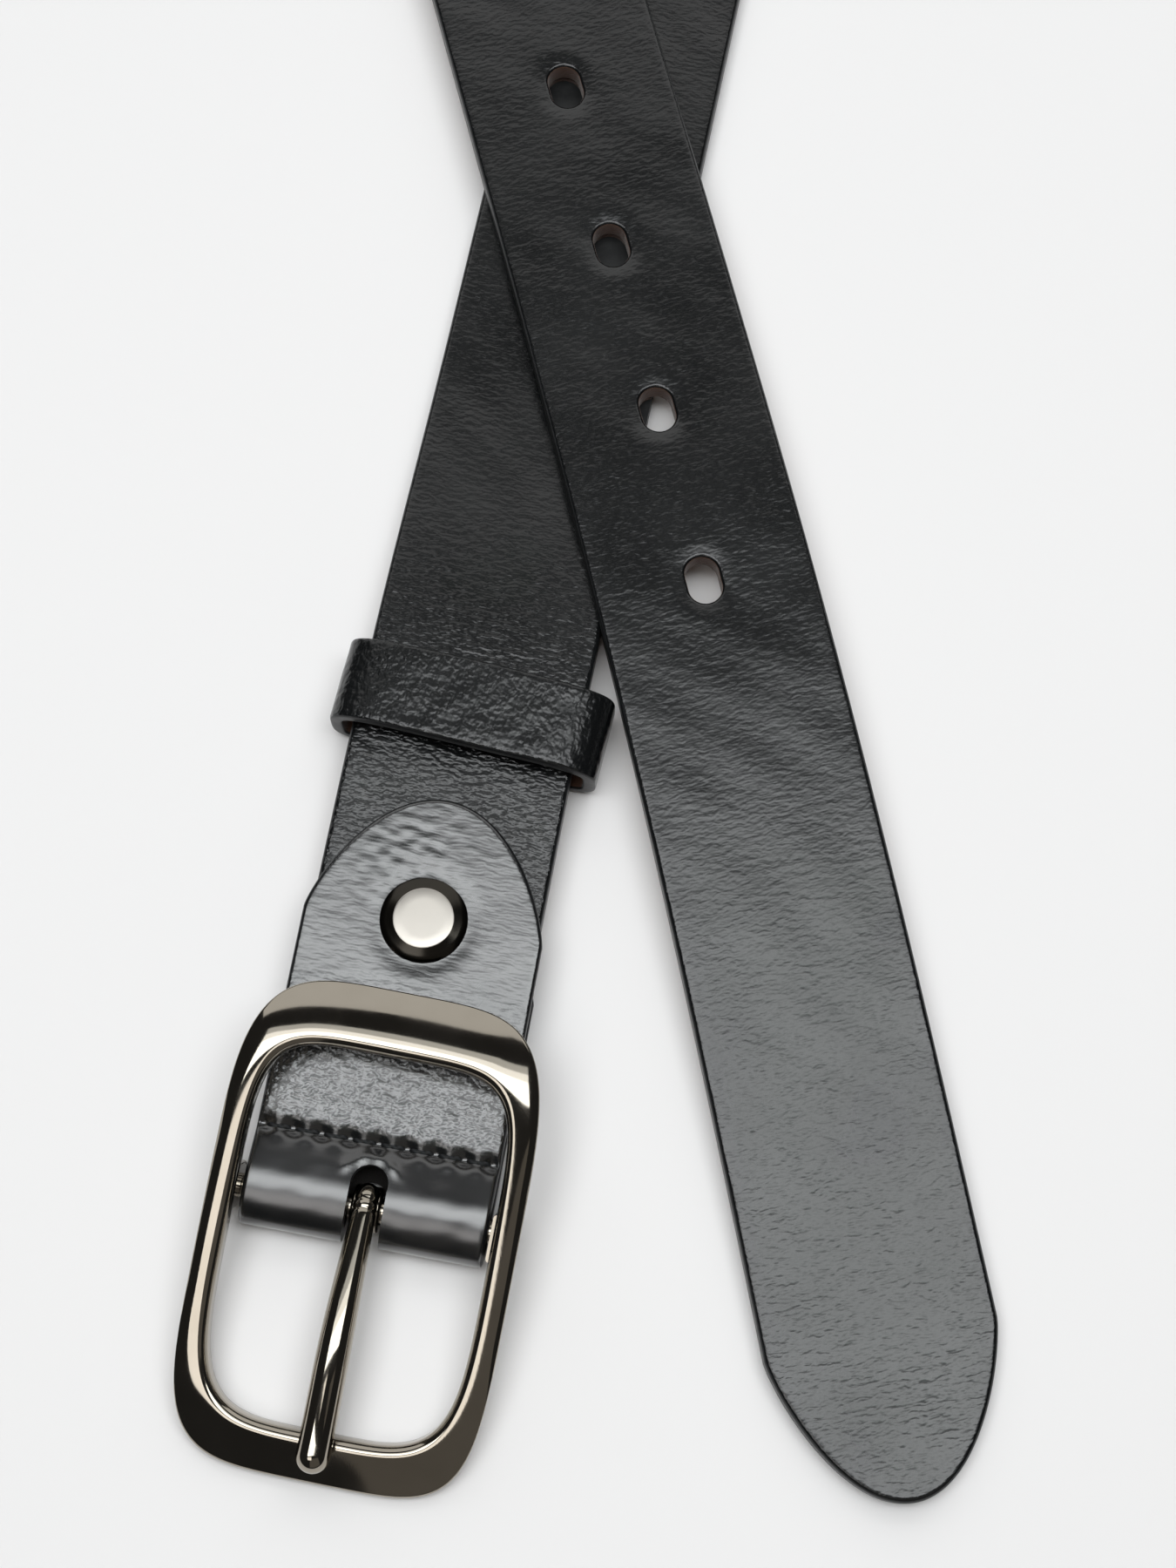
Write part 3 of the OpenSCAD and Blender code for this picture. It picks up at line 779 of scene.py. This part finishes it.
# the flat disc is satin, and the sloping rim beyond it gets a darker copy of the plating: painted shade on
# the bevel
capX, capY = byRivet(0.0, 0.0, 0.0)[:2]
centres = np.zeros(len(rivetCap.data.polygons) * 3)
rivetCap.data.polygons.foreach_get("center", centres)
away = np.hypot(centres[::3] - capX * millimetre, centres[1::3] - capY * millimetre)
rivetCap.data.polygons.foreach_set("material_index", (away > rivet["flat"] * millimetre).astype(np.int32))
rivetBack = turned("rivetBack", rivet["back"], byRivet, [satinNickel])
settle(rivetCap, "strap", ["rivet_cap"], 30)
settle(rivetBack, "strap", ["rivet_back"], 30)
print("rivet made")

buckle = {
    "tilt": 12.5, "barHigh": 3.5, "low": 4.05, "thick": 3.4,
    "outer": {"half": (19.85, 30.85), "centre": (0.25, -2.9), "top": 4.4, "bottom": 5.0},
    "inner": {"half": (16.45, 23.6), "centre": (0.25, -3.85), "top": 5.2, "bottom": 4.4},
    "crestIn": 1.25, "innerFall": 1.2, "steep": (0.60, 1.0), "reach": 7.3, "power": (1.45, 3.2),
    "mostDrop": 3.0, "undercut": 0.55, "steps": 480,
    "settle": -0.7,             # degrees that the frame has turned on the bar's play
    "earRound": 3.0, "earFrom": 16.25, "earTo": 19.55,
}


# The tilted frame plane about the bar: u to the right, v along, n off the bar.
def tilted(u, v, n):
    turn = np.radians(buckle["tilt"])
    play = np.radians(buckle["settle"])
    u, v = u * np.cos(play) - v * np.sin(play), u * np.sin(play) + v * np.cos(play)
    y = v * np.cos(turn) - n * np.sin(turn)
    z = v * np.sin(turn) + n * np.cos(turn) + buckle["barHigh"]
    return byBar(u, y, z)


# Section of a rail: outwards from the crest it falls as steep * reach / power * (distance /
# reach)^power, to the most drop given. Steep and power have one value for the frame's ends
# and one for its sides, where the reach is the whole slope. Inside the crest it rounds down
# to the window, and outside it is undercut to a flat under side.
def buckleRing():
    angle = np.linspace(0, 2 * np.pi, buckle["steps"] + 1)
    outX, outY = polarOutline(buckle["outer"], angle)
    inX, inY = polarOutline(buckle["inner"], angle)
    wide = np.hypot(outX - inX, outY - inY)[:, None]
    top, inset = buckle["thick"], buckle["crestIn"]
    crest = 1 - np.minimum(inset, 0.4 * wide) / wide
    run = crest * wide
    beside = ease(np.abs(np.cos(angle)), 0.45, 0.92)[:, None]
    power, reach, steepest = (ends + (sides - ends) * beside for ends, sides in (
        buckle["power"], (buckle["reach"], run), buckle["steep"]))
    steep = np.minimum(steepest, buckle["mostDrop"] * power / reach * (reach / run) ** power)
    slopeShare = np.linspace(0, 1, 34)[1:] * crest
    away = (crest - slopeShare) * wide
    slope = top - steep * reach / power * (away / reach) ** power
    quarter = np.radians(np.linspace(0, 90, 11))[1:]
    fallShare = crest + (1 - crest) * np.sin(quarter)
    innerFall = buckle["innerFall"]
    fall = np.broadcast_to(top - innerFall * (1 - np.cos(quarter)), fallShare.shape)
    corner = top - steep * reach / power * (run / reach) ** power
    under = buckle["undercut"] / wide
    flat, none = np.ones_like(wide), np.zeros_like(wide)
    share = np.concatenate([
        under * 1.6, under, under * 0.45, none, none + 0.004,
        slopeShare, fallShare, flat, flat, 1 - 0.15 / wide, 1 - 0.4 / wide, under * 1.6], 1)
    high = np.concatenate([
        none, 0.10 * flat, corner * 0.45, corner * 0.82, corner * 0.95, slope, fall,
        (top - innerFall) * 0.5 * flat, 0.35 * flat, 0.08 * flat, none, none], 1)
    u = outX[:, None] + (inX - outX)[:, None] * share
    v = outY[:, None] + (inY - outY)[:, None] * share
    points = np.stack(tilted(u, v, high + buckle["low"]), -1).reshape(-1, 3)
    return makeObject("buckleFrame", points, gridQuads(len(angle), share.shape[1]), [], [blackNickel])


# Ear that holds one end of the bar: a stadium outline about the bar, its sides straight up
# into the rail, carried across with rounded faces.
def buckleEar(side):
    angle = np.radians(np.linspace(180, 360, 33))
    r, rise = buckle["earRound"], buckle["low"] + 0.8
    faces = np.array([0.45, 0.2, 0.05, 0, 0, 0.05, 0.2, 0.45])
    spots = buckle["earFrom"] + (buckle["earTo"] - buckle["earFrom"]) * np.array(
        [0, 0.02, 0.07, 0.14, 0.86, 0.93, 0.98, 1])
    grown = r - faces[:, None]
    v = np.concatenate([grown * np.cos(angle), grown, -grown], 1)
    n = np.concatenate([grown * np.sin(angle), np.full_like(grown, rise), np.full_like(grown, rise)], 1)
    u = side * np.broadcast_to(spots[:, None], v.shape)
    points = np.stack(tilted(u, v, n), -1).reshape(-1, 3)
    return makeObject("ear", points, *prismFaces(*v.shape), [blackNickel])


framePiece = buckleRing()
for side in (-1, 1):
    combine(framePiece, buckleEar(side), "UNION")
settle(framePiece, "frame", ["buckle_frame"], 40)
print("buckle frame made:", len(framePiece.data.polygons), "faces")

tongue = {
    "line": [(2.0, 5.0), (1.7, 5.6), (0.9, 6.15), (-0.6, 6.48), (-3, 6.78), (-8, 7.38), (-13, 7.8),
             (-17, 7.88), (-20, 7.65), (-24, 7.12), (-28, 6.7), (-31, 6.6), (-33, 6.55)],
    "baseRound": 1.5, "tipRound": 2.15, "groove": 0.14,
    "eyeOuter": 2.95, "eyeInner": 1.65, "eyeWide": 3.8, "eyeRound": 0.45, "eyeChamfer": 0.12,
}


# Rod swept along its line: its radius eases from base to tip, less two fine grooves turned
# into it above the bar. The tip is a half sphere, radius * cos over radius * sin, and the
# base a dome half as deep.
def tongueRod():
    line = measuredLine(tongue["line"], 3)
    length = line["length"][-1]
    base, tip = tongue["baseRound"], tongue["tipRound"]
    bend = np.radians(np.linspace(0, 90, 14))
    q = np.concatenate([0.5 * base * (1 - np.sin(bend[::-1])),
                        np.linspace(0.5 * base, length - tip, 190)[1:],
                        length - tip + tip * np.sin(bend[1:])])
    y, z = onLine(line, q, 0.0)
    nextY, nextZ = onLine(line, q, 1.0)
    zero = np.zeros_like(q)
    centres = np.stack([zero, y, z], -1)[None]
    ups = np.stack([zero, y - nextY, z - nextZ], -1)[None]
    sides = np.broadcast_to([1.0, 0.0, 0.0], ups.shape)
    grooves = tongue["groove"] * (hump(y + 0.6, 0.22) + hump(y - 0.5, 0.22))
    radius = base + (tip - base) * ease(q, -3, 24) - grooves
    cut = np.concatenate([np.cos(bend[::-1]), np.ones(189), np.cos(bend[1:])])
    return carriedTube("tonguePin", centres, sides, ups, (radius * cut)[None], (radius * cut)[None],
                       byBar, [blackNickel], 48)


# Eye round the bar: a rounded rectangle section turned about the bar's line.
def tongueEye():
    corner = np.radians(np.linspace(0, 90, 6))
    r, chamfer = tongue["eyeRound"], tongue["eyeChamfer"]
    w, outer, bore = tongue["eyeWide"] / 2 - r, tongue["eyeOuter"] - r, tongue["eyeInner"]
    mouth = bore + chamfer + 0.1
    side = w + r * np.sin(corner)
    crown = outer + r * np.cos(corner)
    x = np.concatenate([side, [w + r, w], [-w, -w - r], -side[::-1], [w]])
    radius = np.concatenate([crown, [mouth, bore], [bore, mouth], crown[::-1], [outer + r]])
    angle = np.linspace(0, 2 * np.pi, 65)[:, None]
    y, z = radius * np.cos(angle), radius * np.sin(angle) + buckle["barHigh"]
    points = np.stack(byBar(np.broadcast_to(x, y.shape), y, z), -1).reshape(-1, 3)
    return makeObject("eye", points, gridQuads(65, len(x)), [], [blackNickel])


tonguePiece = tongueRod()
combine(tonguePiece, tongueEye(), "UNION")
settle(tonguePiece, "tongue", ["tongue"], 40)
print("tongue made:", len(tonguePiece.data.polygons), "faces")

keeper = {
    "station": 66.4, "side": 0.45, "turn": -3.0, "length": 11.5, "thick": 1.8,
    "half": (17.35, 4.92), "top": 3.4, "bottom": 6.0, "centre": (0.0, 5.68),
    "edgeRound": 0.5, "gap": 0.1, "wave": 0.035, "wire": (0.45, 0.29),
}


# Middle line of the band: the same polar outline as the buckle's, from one butt end under
# the strap round to the other.
def keeperOutline():
    gap = keeper["gap"] / keeper["half"][1]
    angle = np.linspace(-np.pi / 2 + gap, 1.5 * np.pi - gap, 400)
    return np.stack(polarOutline(keeper, angle), 1)


keeperLine = measuredLine(keeperOutline(), 1)
keeperLength = keeperLine["length"][-1]


# Beside the strap's middle at the keeper, turned by how far it sits askew.
def byKeeper(x, y, z):
    turn = np.radians(keeper["turn"])
    across, ahead = x * np.cos(turn) - y * np.sin(turn), x * np.sin(turn) + y * np.cos(turn)
    return besideBelt(keeper["station"], across + keeper["side"], ahead, z)


# The band lies across the strap: the strip's length runs round it and its width along it,
# and its lower layer is shaved to five sixths.
def keeperPoint(q, across, up):
    z = np.interp(q, keeperLine["length"], keeperLine["points"][:, 1])
    x, high = onLine(keeperLine, q, -up * (5 / 6 + ease(z, 0.9, 3) / 6))
    return byKeeper(x, across, high)


def keeperHalfWidth(q):
    return keeper["length"] / 2 + 0.06 * np.sin(q / 5)


def keeperRelief(q, across):
    onTop = ease(q, 14, 22) * (1 - ease(q, keeperLength - 22, keeperLength - 14))
    return keeper["wave"] * unevenness(across, q, 21, 3, 12) * onTop


keeperColumns = stripColumns(-keeper["thick"] / 2, keeper["thick"] / 2, 0.3, keeper["edgeRound"], 8, 26)
keeperPiece = leatherStrip("keeperBand", keeperPoint, np.linspace(0, keeperLength, 230), keeperHalfWidth,
                           keeperColumns, keeperSet, keeperRelief)
settle(keeperPiece, "keeper", ["keeper_band"], 40)


# Staple that joins the butt ends: a wire with its crown under the band and two legs
# through it.
def keeperStaple():
    legX, low, top = 3.2, 0.4, 1.35
    corner = smoothLine([(-legX, 0, top), (-legX, 0, low), (legX, 0, low), (legX, 0, top)], 4)
    centres = corner[None]
    taper = np.ones(centres.shape[1])
    taper[[0, -1]] = 0
    wide, high = (share * taper[None] for share in keeper["wire"])
    return carriedTube("keeperStaple", centres, *tubeDirections(centres), wide, high,
                       byKeeper, [steelWire], 12)


staplePiece = keeperStaple()
settle(staplePiece, "keeper", ["keeper_staple"])
print("keeper made")

for node, material in (("buckle_bar", blackNickel), ("rivet_post", satinNickel)):
    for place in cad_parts[node].material_slots:
        place.material = material

studio = {
    "floor": "#edecec", "floorLight": "#efeeee", "room": 0.03,
    "floorReach": 3.0, "floorDrop": 0.00003,    # metres
    "aim": (0.0, -0.18, 0.0),
    "camera": (0.00565, -0.25643, 0.3196), "lean": 16.0, "lens": 56.655,
}
# a light without an aim shines straight down, and one that isn't in the mirror makes no reflection
coolWhite = (0.97, 1.0, 1.01)
lights = {
    "topLight": {"at": (0.01, -0.22, 0.9), "size": (1.1, 0.24), "power": 1.76, "mirror": True,
                 "colour": coolWhite},
    "topLightEdge": {"at": (0.01, -0.165, 0.91), "size": (1.1, 0.35), "power": 1.79, "mirror": True,
                 "colour": coolWhite},
    "topLightRim": {"at": (0.01, -0.11, 0.92), "size": (1.1, 0.46), "power": 1.68, "mirror": True,
                 "colour": coolWhite},
    "sideCard": {"at": (-0.325, -0.585, 0.9), "size": (0.45, 0.33), "power": 1.07, "mirror": True,
                 "colour": (1.0, 0.98, 0.96)},
    "farPanel": {"at": (0.0, 1.2, 1.0), "size": (2.6, 1.25), "power": 9.8, "mirror": True,
                 "aim": studio["aim"], "colour": (1.0, 1.0, 0.99)},
    "nearCard": {"at": (0.32, -1.0, 0.65), "size": (1.17, 1.2), "power": 0.62, "mirror": True,
                 "aim": (0.32, -0.18, 0.0), "colour": (1.0, 0.93, 0.84)},
    "skyLight": {"at": (0.05, 0.35, 1.6), "size": (1.6, 1.6), "power": 10.8, "mirror": False,
                 "aim": studio["aim"], "colour": (1.0, 1.0, 1.0)},
}


# Paper sweep: uncoated, matt, with a tone that hardly changes.
def paleFloor():
    material, tree, shader, place = newMaterial("palePaperSweep", {"Specular IOR Level": 0.1}, False)
    cloud = addNode(tree, "ShaderNodeTexNoise", {"Scale": 3.0, "Detail": 2.0}, {"Vector": place})
    finishShader(tree, shader, (studio["floor"], studio["floorLight"]), cloud.outputs["Fac"], (0.9, 1.0),
                 cloud.outputs["Fac"])
    reach = studio["floorReach"]
    corners = np.array([[-reach, -reach, 0], [reach, -reach, 0], [reach, reach, 0], [-reach, reach, 0]])
    mesh = bpy.data.meshes.new("floor")
    mesh.from_pydata((corners - [0, 0, studio["floorDrop"]]).tolist(), [], [[0, 1, 2, 3]])
    mesh.materials.append(material)
    floor = bpy.data.objects.new("floor", mesh)
    bpy.context.scene.collection.objects.link(floor)


def softLight(name, light):
    data = bpy.data.lights.new(name, "AREA")
    data.shape = "RECTANGLE"
    data.size, data.size_y = light["size"]
    data.energy = light["power"]
    data.color = light["colour"]
    lamp = bpy.data.objects.new(name, data)
    lamp.location = light["at"]
    below = (*light["at"][:2], 0.0)
    way = np.array(light.get("aim", below)) - np.array(light["at"])
    tip = np.arctan2(np.hypot(way[0], way[1]), -way[2])
    lamp.rotation_euler = (tip, 0.0, np.arctan2(-way[0], way[1]))
    lamp.visible_glossy = light["mirror"]
    bpy.context.scene.collection.objects.link(lamp)


paleFloor()
for name, light in lights.items():
    softLight(name, light)
room = bpy.data.worlds.new("room")
room.use_nodes = True
room.node_tree.nodes["Background"].inputs["Color"].default_value = (studio["room"],) * 3 + (1.0,)
bpy.context.scene.world = room
cameraData = bpy.data.cameras.new("camera")
cameraData.lens = studio["lens"]
cameraData.sensor_fit = "VERTICAL"
cameraData.sensor_height = 36.0
cameraData.clip_start = 0.01
cameraObject = bpy.data.objects.new("camera", cameraData)
cameraObject.location = studio["camera"]
cameraObject.rotation_euler = (np.radians(studio["lean"]), 0.0, 0.0)
bpy.context.scene.collection.objects.link(cameraObject)
bpy.context.scene.camera = cameraObject
bpy.context.scene.view_settings.view_transform = "Standard"
print("studio made")
